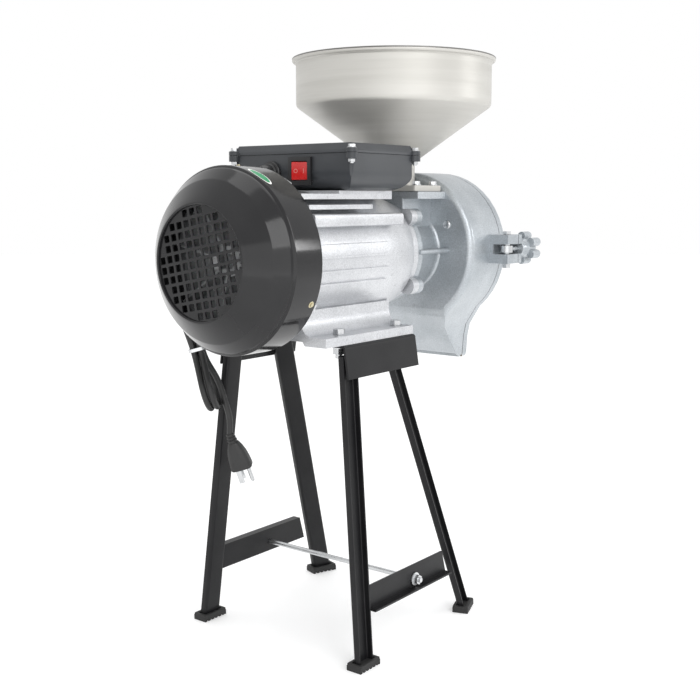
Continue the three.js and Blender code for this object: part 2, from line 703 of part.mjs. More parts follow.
function movingDisc() {
  const disc = rodX(404, 413.5, 0, AXIS_Z, 74, 36);
  const hub = rodX(413, 424, 0, AXIS_Z, 20, 28);
  const grooves = Array.from({ length: 8 }, (_, i) => {
    const groove = new THREE.BoxGeometry(2.4, 3, 46).translate(404.1, -8, 56);
    return solid(groove.rotateX(i * Math.PI / 4).translate(0, 0, AXIS_Z));
  });
  return cut(unite(disc, hub), rodX(400, 421.2, 0, AXIS_Z, 12, 24), ...grooves);
}

function feedAuger() {
  const shape = shapeOf([...arc(0, 0, 16.5, 22, 338, 11), [28.8, -2.8], [28.8, 2.8]]);
  const length = 74;
  const geometry = new THREE.ExtrudeGeometry(shape, { depth: length, steps: 22, bevelEnabled: false });
  const position = geometry.attributes.position;
  for (let i = 0; i < position.count; i += 1) {
    const angle = position.getZ(i) / length * Math.PI * 3.4;
    const [a, b] = [position.getX(i), position.getY(i)];
    position.setXY(i, a * Math.cos(angle) - b * Math.sin(angle), a * Math.sin(angle) + b * Math.cos(angle));
  }
  const screw = solid(geometry.rotateY(Math.PI / 2).translate(327, 0, AXIS_Z));
  return cut(screw, rodX(320, 410, 0, AXIS_Z, 12.1, 20));
}

function lobedKnob(x0, x1, y, z, r, lobes, turn = 0) {
  const outline = [];
  const count = lobes * 6;
  for (let i = 0; i < count; i += 1) {
    const angle = i / count * Math.PI * 2;
    const wave = Math.cos(lobes * angle);
    const reach = r * (0.86 + 0.14 * Math.sign(wave) * Math.sqrt(Math.abs(wave)));
    outline.push([y + reach * Math.cos(angle + turn), z + reach * Math.sin(angle + turn)]);
  }
  return prismX(outline, x0, x1);
}

function starNut() {
  const star = lobedKnob(475, 499, -PIN_Y, CLAMP_Z, 21.5, 6, Math.PI / 6);
  const hub = rodX(467.4, 476, -PIN_Y, CLAMP_Z, 11, 24);
  return cut(unite(star, hub), rodX(460, 505, -PIN_Y, CLAMP_Z, 4.4, 16));
}

function swingBolt() {
  const eye = rodZ(CLAMP_Z - 4.5, CLAMP_Z + 4.5, PIN_X, -PIN_Y, 8, 24);
  const shank = rodX(PIN_X + 5, 502, -PIN_Y, CLAMP_Z, 4, 16);
  return cut(unite(eye, shank), rodZ(440, 480, PIN_X, -PIN_Y, 3.3, 14));
}

function hingePin() {
  const rod = rodZ(436, 480, PIN_X, -PIN_Y, 3, 14);
  const head = rodZ(CLAMP_Z + CLAMP_HALF + GAP, 482.4, PIN_X, -PIN_Y, 5.8, 6);
  const nut = rodZ(435, CLAMP_Z - CLAMP_HALF - GAP, PIN_X, -PIN_Y, 5.8, 6);
  return unite(rod, head, nut);
}

function adjustingScrew() {
  const rod = rodX(436.4, 506, 0, AXIS_Z, 8, 24);
  const collar = rodX(503, 512, 0, AXIS_Z, 15, 24);
  return unite(rod, collar, lobedKnob(511, 540.8, 0, AXIS_Z, 30, 6));
}

function lockNut() {
  return cut(hexX(489.1, 497.5, 0, AXIS_Z, 14), rodX(480, 500, 0, AXIS_Z, 8.4, 20));
}

function buildMillHead() {
  addPart('mill_casing', millCasing(), CAST);
  addPart('front_cover', frontCover(), CAST);
  addPart('cover_gasket', gasket(), FIBRE);
  addPart('fixed_disc', fixedDisc(), IRON);
  addPart('moving_disc', movingDisc(), IRON);
  addPart('feed_auger', feedAuger(), IRON);
  addPart('thrust_pad', rodX(424.3, 436, 0, AXIS_Z, 10, 20), IRON);
  addPart('adjusting_screw', adjustingScrew(), ZINC);
  addPart('adjusting_lock_nut', lockNut(), ZINC);
  const clamp = [
    ['swing_bolt', swingBolt(), ZINC], ['star_nut', starNut(), CAST], ['hinge_pin', hingePin(), ZINC],
  ];
  for (const [name, body, look] of clamp) {
    addPart(`${name}_right`, body, look);
    addPart(`${name}_left`, mirrorY(body), look);
  }
}

// ---- hopper ----
function hopper() {
  const w = HOPPER_WALL;
  const z = TOTAL_HEIGHT;
  const shell = revolveZ([
    [HOPPER_NECK_R - w, HOPPER_FLANGE_Z0 + 2],
    [HOPPER_NECK_R, HOPPER_FLANGE_Z0 + 2], [HOPPER_NECK_R, CONE_LOW_Z],
    [WALL_R, CONE_TOP_Z], [WALL_R, z - 7], [RIM_R, z - 5.5], [RIM_R + 0.4, z - 3], [RIM_R - 1, z - 0.8],
    [WALL_R + 1, z], [WALL_R - w, z - 1.2], [WALL_R - w, CONE_TOP_Z + 0.8],
    [HOPPER_NECK_R - w, CONE_LOW_Z + 0.8], [HOPPER_NECK_R - w, HOPPER_FLANGE_Z0 + 2],
  ], INLET_X, 0, 44);
  const plate = prismZ(roundedRect(322, 381, -56, 56, 3, 2), HOPPER_FLANGE_Z0, HOPPER_FLANGE_Z1);
  const hole = rodZ(530, 545, INLET_X, 0, HOPPER_NECK_R - w, 32);
  return unite(cut(plate, hole), shell);
}

// ---- power cord ----
function tube(route, steps) {
  const curve = new THREE.CatmullRomCurve3(route.map((p) => new THREE.Vector3(...p)));
  const ring8 = shapeOf(arc(0, 0, CORD_R, 0, 324, 9));
  return solid(new THREE.ExtrudeGeometry(ring8, { steps, extrudePath: curve, bevelEnabled: false }));
}

function hankLength() {
  return new THREE.Vector3(...HANK_TOP).distanceTo(new THREE.Vector3(...HANK_LOW));
}

// Bow-tie outline of the folded cord: round loops at both ends and a waist at the tie.
function hankOutline() {
  const low = HANK_BEND + CORD_R;
  const high = low + CORD_R;
  const middle = hankLength() / 2;
  const top = hankLength() + 2 * CORD_R - high;
  return [
    ...arc(0, low, low, 160, 380, 14), [HANK_WAIST, middle - 10], [HANK_WAIST, middle + 12],
    ...arc(CORD_R, top, high, -20, 200, 14), [-HANK_WAIST, middle + 12], [-HANK_WAIST, middle - 10],
  ];
}

function cordHank() {
  const loops = prismX(hankOutline(), -HANK_HALF_WIDTH, HANK_HALF_WIDTH);
  return aimBody(loops, HANK_LOW, HANK_TOP, HANK_SIDE);
}

function tieRing() {
  const z0 = hankLength() / 2;
  const outer = prismZ(roundedRect(-9.8, 9.8, -11.8, 11.8, 4, 3), z0, z0 + 4);
  const inner = prismZ(roundedRect(-8.5, 8.5, -10.5, 10.5, 0.5, 1), z0 - 1, z0 + 5);
  return aimBody(cut(outer, inner), HANK_LOW, HANK_TOP, HANK_SIDE);
}

function powerPlug() {
  const relief = revolveZ([[0, 0], [4.6, 0], [6.4, 11], [6.4, 14], [0, 14]], 0, 0, 18);
  const body = prismY([[-6.5, 12], [6.5, 12], [11.5, 26], [13.5, 48], [-13.5, 48], [-11.5, 26]], -10, 10);
  const ground = rodZ(46, 69, 7, 0, 2.4, 12);
  const blades = [-6.3, 6.3].map((y) => box(-8, -1.6, y - 0.8, y + 0.8, 46, 65));
  return aimBody(unite(relief, body, ground, ...blades), PLUG_START, PLUG_END, HANK_SIDE);
}

function buildCord() {
  addPart('power_cord', tube(CORD_ROUTE, 22), RUBBER);
  addPart('cord_hank', cordHank(), RUBBER);
  addPart('cord_tail', tube(TAIL_ROUTE, 6), RUBBER);
  addPart('cord_tie', tieRing(), ZINC);
  addPart('power_plug', powerPlug(), RUBBER);
}

buildStand();
buildMotor();
buildJunctionBox();
buildMillHead();
addPart('hopper', hopper(), STEEL);
buildCord();

export default group;
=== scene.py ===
"""Looks of a disc grain mill: stand, fan-cooled motor, switch box, cast mill head, hopper and cord.

Shapes are written in millimetres, with X from the grille plane along the motor shaft, and TO_FRAME
turns them into the frame's metres.
"""
import json
import math

import bmesh
import bpy
from mathutils import Matrix, Vector


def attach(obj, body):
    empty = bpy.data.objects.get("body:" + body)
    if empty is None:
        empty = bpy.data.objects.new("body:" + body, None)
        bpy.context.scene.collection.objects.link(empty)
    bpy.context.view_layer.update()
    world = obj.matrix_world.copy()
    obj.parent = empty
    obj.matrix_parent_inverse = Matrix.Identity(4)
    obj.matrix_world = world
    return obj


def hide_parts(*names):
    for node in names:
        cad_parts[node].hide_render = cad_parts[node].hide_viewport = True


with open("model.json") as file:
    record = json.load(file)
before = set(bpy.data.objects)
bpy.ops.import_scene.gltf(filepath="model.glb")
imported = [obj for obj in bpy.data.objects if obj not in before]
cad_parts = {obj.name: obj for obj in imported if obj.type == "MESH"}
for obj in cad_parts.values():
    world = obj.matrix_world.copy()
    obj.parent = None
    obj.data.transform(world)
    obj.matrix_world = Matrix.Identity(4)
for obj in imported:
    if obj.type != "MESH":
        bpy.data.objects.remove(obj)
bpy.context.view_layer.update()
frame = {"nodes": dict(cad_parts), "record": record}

# ---- driving dimensions, in millimetres and degrees ----
X_CENTRE = 270.4
AXIS_Z = 457.4
HOPPER_X = 351.6
COVER_R = 102.6
COVER_FRONT_R = 62.5
GRILLE_PITCH = 11.0
GRILLE_HOLE = 7.6
GRILLE_TURN = -11.0
GRILLE_REACH = COVER_FRONT_R - 1.8
CORD_R = 3.75
CLAMP_Y = 118.0
CLAMP_Z = 459.5
# The label's middle and half size: millimetres along X, then degrees round the shaft.
LABEL_PLACE = (46.5, 117.0)
LABEL_HALF = (6.2, 10.0)
# Each foot pad's end of the stand, its X and Y, and its turn about the vertical.
FOOT_PADS = (("rear", 128.0, 121.5, 0.0), ("front", 347.0, 118.0, 19.5))
SOLE_HALF_X = 18.5
SOLE_HALF_Y = 10.0
SOLE_GROOVES = 6
COVER_SCREW_X = 73.0
COVER_SCREW_ANGLES = (205, 325, 85)
NECK_NUT_REACH = 69.0
NECK_NUT_ANGLES = (40, -36, 144, 220)
HOPPER_BOLTS = ((333, -49), (370, -49), (333, 49), (370, 49))
LID_SCREWS = ((149.5, -88), (149.5, 88), (272, -88), (272, 88))
PLATE_SCREW_Y = 63.6
PLATE_SCREW_Z = 491.0
ROCKER_MIDDLE = Vector((151.0, -15.0, 555.7))
ROCKER_TILT = 9.0

# ---- edges: degrees, and metres for the weld ----
SHARP_ANGLE = 32.0
FLAT_ANGLE = 0.5
WELD_REACH = 0.00001

TO_FRAME = Matrix.Translation((-X_CENTRE / 1000, 0, 0)) @ Matrix.Scale(0.001, 4)

# The camera's place in millimetres, its turn in degrees and its lens in millimetres.
CAMERA_PLACE = (-791.4, -810.2, 525.7)
CAMERA_TURN = (81.9, 0.0, -52.4)
CAMERA_LENS = 55.05
SENSOR_WIDTH = 36.0

# A noise texture's values lie mostly between these.
NOISE_LOW = 0.3
NOISE_HIGH = 0.7


# ---- materials ----
class Nodes:
    """A material's node tree, with short ways to add and join nodes."""

    def __init__(self, name):
        self.material = bpy.data.materials.new(name)
        self.material.use_nodes = True
        self.tree = self.material.node_tree
        self.shader = self.tree.nodes["Principled BSDF"]
        self.coords = self.tree.nodes.new("ShaderNodeTexCoord").outputs["Object"]

    def join(self, output, socket):
        self.tree.links.new(output, socket)

    def noise(self, scale, detail=3.0, stretch=None):
        node = self.tree.nodes.new("ShaderNodeTexNoise")
        node.inputs["Scale"].default_value = scale
        node.inputs["Detail"].default_value = detail
        self.join(self.stretched(stretch) if stretch else self.coords, node.inputs["Vector"])
        return node.outputs["Fac"]

    def stretched(self, scale):
        node = self.tree.nodes.new("ShaderNodeMapping")
        node.inputs["Scale"].default_value = scale
        self.join(self.coords, node.inputs["Vector"])
        return node.outputs["Vector"]

    def ramp(self, factor, low, high, low_at=0.35, high_at=0.65):
        node = self.tree.nodes.new("ShaderNodeValToRGB")
        node.color_ramp.elements[0].position = low_at
        node.color_ramp.elements[0].color = (*low, 1.0)
        node.color_ramp.elements[1].position = high_at
        node.color_ramp.elements[1].color = (*high, 1.0)
        self.join(factor, node.inputs["Fac"])
        return node.outputs["Color"]

    def span(self, factor, low, high):
        node = self.tree.nodes.new("ShaderNodeMapRange")
        node.inputs["From Min"].default_value = NOISE_LOW
        node.inputs["From Max"].default_value = NOISE_HIGH
        node.inputs["To Min"].default_value = low
        node.inputs["To Max"].default_value = high
        self.join(factor, node.inputs["Value"])
        return node.outputs["Result"]

    def multiply(self, first, second):
        node = self.tree.nodes.new("ShaderNodeMix")
        node.data_type = "RGBA"
        node.blend_type = "MULTIPLY"
        node.inputs["Factor"].default_value = 1.0
        self.join(first, node.inputs["A"])
        self.join(second, node.inputs["B"])
        return node.outputs["Result"]

    def bump(self, height, strength, distance, under=None):
        node = self.tree.nodes.new("ShaderNodeBump")
        node.inputs["Strength"].default_value = strength
        node.inputs["Distance"].default_value = distance
        self.join(height, node.inputs["Height"])
        if under is not None:
            self.join(under, node.inputs["Normal"])
        return node.outputs["Normal"]


def surface(name, dark, light, rough, metallic=0.0, patch=18.0, grain=900.0, depth=0.00006,
            strength=0.3, coat=0.0, stretch=None, specular=0.5):
    """A painted, moulded, cast or machined finish: patchy colour, uneven gloss and a fine grain."""
    look = Nodes(name)
    patches = look.noise(patch, 4.0, stretch)
    fine = look.noise(grain, 3.0, stretch)
    look.join(look.ramp(patches, dark, light), look.shader.inputs["Base Color"])
    look.join(look.span(fine, rough[0], rough[1]), look.shader.inputs["Roughness"])
    look.join(look.bump(fine, strength, depth), look.shader.inputs["Normal"])
    look.shader.inputs["Metallic"].default_value = metallic
    look.shader.inputs["Coat Weight"].default_value = coat
    look.shader.inputs["Coat Roughness"].default_value = 0.08
    look.shader.inputs["Specular IOR Level"].default_value = specular
    return look.material


def cast_paint(name, dark, light, rough, pits):
    """Silver paint over a sand casting: a coarse skin under fine flake, with darker pits and speckle."""
    look = Nodes(name)
    skin = look.noise(260.0, 5.0)
    flake = look.noise(1700.0, 2.0)
    pit = look.noise(95.0, 6.0)
    tone = look.ramp(look.noise(22.0, 4.0), dark, light)
    pit_tone = look.ramp(pit, (pits, pits, pits), (1.0, 1.0, 1.0), 0.26, 0.34)
    speckle = look.ramp(look.noise(750.0, 3.0), (0.84, 0.84, 0.84), (1.08, 1.08, 1.08))
    paint = look.multiply(look.multiply(tone, pit_tone), speckle)
    look.join(paint, look.shader.inputs["Base Color"])
    look.join(look.span(flake, rough[0], rough[1]), look.shader.inputs["Roughness"])
    coarse = look.bump(skin, 0.5, 0.0005)
    look.join(look.bump(flake, 0.35, 0.00012, coarse), look.shader.inputs["Normal"])
    look.shader.inputs["Metallic"].default_value = 0.7
    return look.material


def make_materials():
    return {
        "stand_black": surface("satin_black_paint", (0.007, 0.007, 0.008), (0.012, 0.012, 0.013),
                               (0.34, 0.46), grain=700.0, strength=0.25, specular=0.25),
        "rubber": surface("foot_rubber", (0.008, 0.008, 0.008), (0.018, 0.018, 0.018),
                          (0.6, 0.8), grain=1200.0, strength=0.4),
        "zinc": surface("zinc_plate", (0.56, 0.57, 0.58), (0.66, 0.67, 0.68), (0.24, 0.36),
                        metallic=1.0, patch=40.0, strength=0.15),
        "motor_silver": cast_paint("motor_silver_paint", (0.55, 0.56, 0.58), (0.63, 0.64, 0.66),
                                   (0.3, 0.44), 0.7),
        "casting_grey": cast_paint("head_silver_paint", (0.4, 0.43, 0.455), (0.48, 0.51, 0.535),
                                   (0.28, 0.42), 0.85),
        "machined_steel": surface("machined_steel", (0.4, 0.4, 0.41), (0.56, 0.56, 0.57),
                                  (0.25, 0.4), metallic=1.0, stretch=(60.0, 1.0, 1.0), patch=8.0),
        "cast_iron": surface("raw_cast_iron", (0.1, 0.1, 0.105), (0.2, 0.195, 0.19), (0.5, 0.7),
                             metallic=0.8, grain=500.0, strength=0.6, depth=0.0002),
        "copper": surface("enamelled_copper", (0.38, 0.12, 0.04), (0.6, 0.24, 0.09), (0.25, 0.4),
                          metallic=0.9, stretch=(1.0, 14.0, 14.0), grain=120.0, depth=0.0004),
        "fan_plastic": surface("fan_grey_plastic", (0.42, 0.43, 0.44), (0.5, 0.51, 0.52),
                               (0.4, 0.55)),
        "cover_black": surface("gloss_black_paint", (0.01, 0.01, 0.011), (0.014, 0.014, 0.015),
                               (0.1, 0.15), grain=420.0, strength=0.03, specular=0.36),
        "box_plastic": surface("box_charcoal_plastic", (0.036, 0.039, 0.044),
                               (0.045, 0.049, 0.054), (0.3, 0.42), grain=1500.0, strength=0.25,
                               specular=0.45),
        "black_plastic": surface("black_nylon", (0.008, 0.008, 0.009), (0.016, 0.016, 0.017),
                                 (0.28, 0.4), grain=1300.0, strength=0.2),
        "red_plastic": surface("red_rocker_plastic", (0.48, 0.008, 0.008), (0.6, 0.014, 0.012),
                               (0.2, 0.3), grain=900.0, strength=0.08, coat=0.5),
        "fibre": surface("gasket_fibre", (0.1, 0.08, 0.05), (0.16, 0.13, 0.09), (0.8, 0.95)),
        "stainless": surface("spun_stainless", (0.49, 0.48, 0.45), (0.54, 0.53, 0.5),
                             (0.4, 0.5), metallic=0.4, patch=9.0, grain=60.0,
                             stretch=(0.6, 0.6, 14.0), strength=0.07, depth=0.0001),
        "cord_black": surface("cord_pvc", (0.012, 0.012, 0.012), (0.02, 0.02, 0.02),
                              (0.38, 0.52), grain=800.0, strength=0.2),
        "brass": surface("yellow_zinc", (0.5, 0.45, 0.3), (0.62, 0.56, 0.38), (0.26, 0.38),
                         metallic=1.0, patch=200.0),
        # Painted shadow: dark steel for the ring that paints the shade line along the hopper's rim.
        "rim_shadow": surface("painted_rim_shadow", (0.16, 0.155, 0.15), (0.22, 0.215, 0.21), (0.3, 0.4),
                             metallic=1.0),
        "rocker_ink": surface("faded_pale_ink", (0.62, 0.2, 0.18), (0.7, 0.26, 0.23), (0.3, 0.4)),
        "sticker": surface("plain_green_label", (0.0, 0.2, 0.07), (0.0, 0.25, 0.09), (0.3, 0.4)),
        "sticker_edge": surface("plain_white_label", (0.75, 0.75, 0.73), (0.85, 0.85, 0.83),
                                (0.3, 0.4)),
    }


# ---- camera, lights and floor ----
def make_camera():
    """The view that the photo was taken from, as fitted to its straight edges and circles."""
    data = bpy.data.cameras.new("camera")
    data.lens = CAMERA_LENS
    data.sensor_width = SENSOR_WIDTH
    data.clip_end = 50.0
    camera = bpy.data.objects.new("camera", data)
    camera.location = TO_FRAME @ Vector(CAMERA_PLACE)
    camera.rotation_euler = [math.radians(a) for a in CAMERA_TURN]
    bpy.context.scene.collection.objects.link(camera)
    bpy.context.scene.camera = camera


def soft_light(name, place, target, size, power):
    """A rectangular lamp in metres and watts, facing its target."""
    data = bpy.data.lights.new(name, "AREA")
    data.shape = "RECTANGLE"
    data.size = size[0]
    data.size_y = size[1]
    data.energy = power
    light = bpy.data.objects.new(name, data)
    light.location = place
    light.rotation_euler = (Vector(target) - Vector(place)).to_track_quat("-Z", "Y").to_euler()
    bpy.context.scene.collection.objects.link(light)


def make_studio():
    """A white surround with a large key light, softer ones and one small glint."""
    scene = bpy.context.scene
    scene.view_settings.view_transform = "Standard"
    world = bpy.data.worlds.new("studio")
    world.use_nodes = True
    world.node_tree.nodes["Background"].inputs["Color"].default_value = (1.0, 1.0, 1.0, 1.0)
    world.node_tree.nodes["Background"].inputs["Strength"].default_value = 1.0
    scene.world = world
    middle = (0.0, 0.0, 0.4)
    soft_light("key", (-0.9, -2.1, 1.7), middle, (1.3, 1.3), 18.0)
    soft_light("top", (0.2, 0.1, 2.4), middle, (1.8, 1.8), 12.0)
    soft_light("fill", (-1.5, -1.3, 0.2), (0.1, 0.0, 0.6), (1.9, 1.9), 9.0)
    soft_light("glint", (1.23, -1.43, 0.9), (-0.2, -0.1, 0.46), (0.3, 0.3), 3.0)
    soft_light("rim", (2.0, -0.6, 1.1), middle, (0.7, 1.5), 0.3)


def make_floor():
    """A pale round floor that glows a little, so that it runs into the white surround."""
    bm = bmesh.new()
    bmesh.ops.create_circle(bm, cap_ends=True, segments=96, radius=9.0)
    mesh = bpy.data.meshes.new("floor")
    bm.to_mesh(mesh)
    bm.free()
    floor = bpy.data.objects.new("floor", mesh)
    bpy.context.scene.collection.objects.link(floor)
    look = Nodes("pale_floor")
    tone = look.ramp(look.noise(1.5), (0.86, 0.86, 0.86), (0.9, 0.9, 0.9))
    look.join(tone, look.shader.inputs["Base Color"])
    look.shader.inputs["Roughness"].default_value = 0.7
    look.join(tone, look.shader.inputs["Emission Color"])
    look.shader.inputs["Emission Strength"].default_value = 0.22
    mesh.materials.append(look.material)


# ---- mesh helpers ----
def along_x(x, y=0.0, z=AXIS_Z):
    """Places local X, Y, Z on the part's Y, Z, X."""
    turn = Matrix(((0, 0, 1, 0), (1, 0, 0, 0), (0, 1, 0, 0), (0, 0, 0, 1)))
    return Matrix.Translation((x, y, z)) @ turn


def upright(x, y, z):
    return Matrix.Translation((x, y, z))


def pointing(start, direction, side=(0.0, 0.0, 1.0)):
    """Local Z runs along direction from start, and local X towards side."""
    along = Vector(direction).normalized()
    across = Vector(side)
    across = (across - along * across.dot(along)).normalized()
    third = along.cross(across)
    turn = Matrix((across, third, along)).transposed().to_4x4()
    return Matrix.Translation(start) @ turn


def circle(radius, count, start=0.0):
    """Points round the origin, with the start angle in radians."""
    step = 2 * math.pi / count
    return [(radius * math.cos(start + i * step), radius * math.sin(start + i * step))
            for i in range(count)]


def arc(cx, cy, radius, first, last, count):
    """Points on an arc, with angles in degrees."""
    points = []
    for i in range(count + 1):
        angle = math.radians(first + (last - first) * i / count)
        points.append((cx + radius * math.cos(angle), cy + radius * math.sin(angle)))
    return points


def rounded_rect(half_x, half_y, radius, count=4):
    """A rectangle about the origin, with count steps in each round corner."""
    corners = [(1, 1, 0), (-1, 1, 90), (-1, -1, 180), (1, -1, 270)]
    points = []
    for sx, sy, first in corners:
        cx = sx * (half_x - radius)
        cy = sy * (half_y - radius)
        points += arc(cx, cy, radius, first, first + 90, count)
    return points


def lathe(bm, profile, place, segments=64, closed=False):
    """Turns (along, radius) points about local Z. A radius of 0 makes a pole."""
    rings = []
    for along, radius in profile:
        if radius == 0:
            rings.append([bm.verts.new(place @ Vector((0, 0, along)))])
        else:
            rings.append([bm.verts.new(place @ Vector((x, y, along)))
                          for x, y in circle(radius, segments)])
    pairs = list(zip(rings, rings[1:] + ([rings[0]] if closed else [])))
    for low, high in pairs:
        for i in range(segments):
            j = (i + 1) % segments
            face = [low[i % len(low)], low[j % len(low)]]
            face += [high[j % len(high)], high[i % len(high)]]
            bm.faces.new(list(dict.fromkeys(face)))


def prism(bm, outline, z0, z1, place):
    """An outline in local XY, drawn out from z0 to z1."""
    low = [bm.verts.new(place @ Vector((x, y, z0))) for x, y in outline]
    high = [bm.verts.new(place @ Vector((x, y, z1))) for x, y in outline]
    bm.faces.new(low[::-1])
    bm.faces.new(high)
    for i in range(len(low)):
        j = (i + 1) % len(low)
        bm.faces.new([low[i], low[j], high[j], high[i]])


def loft(bm, sections):
    """Skins closed sections of equal point counts and caps both ends."""
    rings = [[bm.verts.new(p) for p in section] for section in sections]
    bm.faces.new(rings[0][::-1])
    bm.faces.new(rings[-1])
    for low, high in zip(rings, rings[1:]):
        for i in range(len(low)):
            j = (i + 1) % len(low)
            bm.faces.new([low[i], low[j], high[j], high[i]])


def tube(bm, points, radii, sides=24):
    """A round tube of changing radius through the points, with its ends capped."""
    side = Vector((0, 0, 1))
    sections = []
    for i, point in enumerate(points):
        ahead = points[min(i + 1, len(points) - 1)]
        behind = points[max(i - 1, 0)]
        place = pointing(point, Vector(ahead) - Vector(behind), side)
        side = (place.to_3x3() @ Vector((1, 0, 0))).normalized()
        sections.append([place @ Vector((x, y, 0)) for x, y in circle(radii[i], sides)])
    loft(bm, sections)


def plate(bm, rings, thickness, edge, place):
    """A flat plate in local XY: the first ring is its outline and the others are holes."""
    curve = bpy.data.curves.new("plate", "CURVE")
    curve.dimensions = "2D"
    curve.fill_mode = "BOTH"
    curve.extrude = thickness / 2 - edge
    curve.bevel_depth = edge
    curve.bevel_resolution = 1
    curve.offset = -edge
    for ring in rings:
        spline = curve.splines.new("POLY")
        spline.points.add(len(ring) - 1)
        for point, (x, y) in zip(spline.points, ring):
            point.co = (x, y, 0.0, 1.0)
        spline.use_cyclic_u = True
    holder = bpy.data.objects.new("plate", curve)
    bpy.context.scene.collection.objects.link(holder)
    ready = holder.evaluated_get(bpy.context.evaluated_depsgraph_get())
    mesh = bpy.data.meshes.new_from_object(ready)
    mesh.transform(place @ Matrix.Translation((0, 0, thickness / 2)))
    bm.from_mesh(mesh)
    bmesh.ops.remove_doubles(bm, verts=bm.verts, dist=0.0005)
    bpy.data.objects.remove(holder)
    bpy.data.meshes.remove(mesh)
    bpy.data.curves.remove(curve)


def smoothing_group():
    """Smooth faces, with edges over SHARP_ANGLE left sharp."""
    group = bpy.data.node_groups.new("soft_edges", "GeometryNodeTree")
    group.interface.new_socket("Geometry", in_out="INPUT", socket_type="NodeSocketGeometry")
    group.interface.new_socket("Geometry", in_out="OUTPUT", socket_type="NodeSocketGeometry")
    start = group.nodes.new("NodeGroupInput")
    end = group.nodes.new("NodeGroupOutput")
    clear = group.nodes.new("GeometryNodeRemoveAttribute")
    clear.inputs["Name"].default_value = "custom_normal"
    faces = group.nodes.new("GeometryNodeSetShadeSmooth")
    faces.domain = "FACE"
    edges = group.nodes.new("GeometryNodeSetShadeSmooth")
    edges.domain = "EDGE"
    edges.inputs["Shade Smooth"].default_value = False
    angle = group.nodes.new("GeometryNodeInputMeshEdgeAngle")
    compare = group.nodes.new("FunctionNodeCompare")
    compare.operation = "GREATER_THAN"
    compare.inputs["B"].default_value = math.radians(SHARP_ANGLE)
    group.links.new(start.outputs["Geometry"], clear.inputs["Geometry"])
    group.links.new(clear.outputs["Geometry"], faces.inputs["Geometry"])
    group.links.new(faces.outputs["Geometry"], edges.inputs["Geometry"])
    group.links.new(angle.outputs["Unsigned Angle"], compare.inputs["A"])
    group.links.new(compare.outputs["Result"], edges.inputs["Selection"])
    group.links.new(edges.outputs["Geometry"], end.inputs["Geometry"])
    return group


SMOOTHING = smoothing_group()
MATERIALS = make_materials()


def soften(piece, bevel, segments=2):
    """Rounds the piece's sharp edges by bevel millimetres and shades it smooth between them."""
    if bevel > 0:
        rounding = piece.modifiers.new("bevel", "BEVEL")
        rounding.width = bevel / 1000
        rounding.segments = segments
        rounding.limit_method = "ANGLE"
        rounding.angle_limit = math.radians(SHARP_ANGLE)
        rounding.use_clamp_overlap = True
        rounding.miter_outer = "MITER_ARC"
    piece.modifiers.new("smooth", "NODES").node_group = SMOOTHING
    weights = piece.modifiers.new("normals", "WEIGHTED_NORMAL")
    weights.keep_sharp = True


def finish_node(name, slot, bevel):
    """Gives a CAD node its material, rounded edges and smooth shading."""
    node = frame["nodes"][name]
    node.data.materials.clear()
    node.data.materials.append(MATERIALS[slot])
    node.modifiers.new("weld", "WELD").merge_threshold = WELD_REACH
    flat = node.modifiers.new("flat", "DECIMATE")
    flat.decimate_type = "DISSOLVE"
    flat.angle_limit = math.radians(FLAT_ANGLE)
    soften(node, bevel)


def add_piece(name, bm, slot, body="frame", bevel=0.0, replaces=(), material=None, segments=2):
    """Links a bmesh made in millimetres as a piece that rides on a body. The slot names its look,
    unless material names another one of the same kind.
    """
    bmesh.ops.recalc_face_normals(bm, faces=bm.faces)
    bm.transform(TO_FRAME)
    mesh = bpy.data.meshes.new(name)
    bm.to_mesh(mesh)
    bm.free()
    mesh.materials.append(MATERIALS[material or slot])
    piece = bpy.data.objects.new(name, mesh)
    bpy.context.scene.collection.objects.link(piece)
    soften(piece, bevel, segments)
    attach(piece, body)
    if replaces:
        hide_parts(*replaces)
    return piece


# ---- power cord ----
CORD_ROUTE = [
    (127, 28.8, 554), (117, 40, 552), (108, 61, 541), (101.5, 84, 518),
    (98, 104, 488), (94.5, 114, 458), (89, 120.4, 430.3),
]
HANK_LOW = Vector((105.2, 82.4, 273.5))
HANK_TOP = Vector((83, 115.8, 419.5))
HANK_SIDE = (0.61, -0.79, 0)
PLUG_START = Vector((122.6, 77.1, 244))
PLUG_END = Vector((141, 71, 192))
GLAND_TIP = (130, 28.8, 554)
STRAND = 4.1
TIE_HALF = 6.4
TIE_FLARE = 2.2
# Where each strand passes through the tie, in the hank's own X and Y.
STRANDS = (
    (-STRAND, TIE_HALF), (-STRAND, -TIE_HALF), (0.0, 0.0), (STRAND, -TIE_HALF), (STRAND, TIE_HALF),
)
BOOT_LENGTH = 30.0
BOOT_STEPS = 26


def hank_place():
    """The hank's own frame: Z from its low end to its high end, and X across its strands."""
    return pointing(HANK_LOW, HANK_TOP - HANK_LOW, HANK_SIDE)


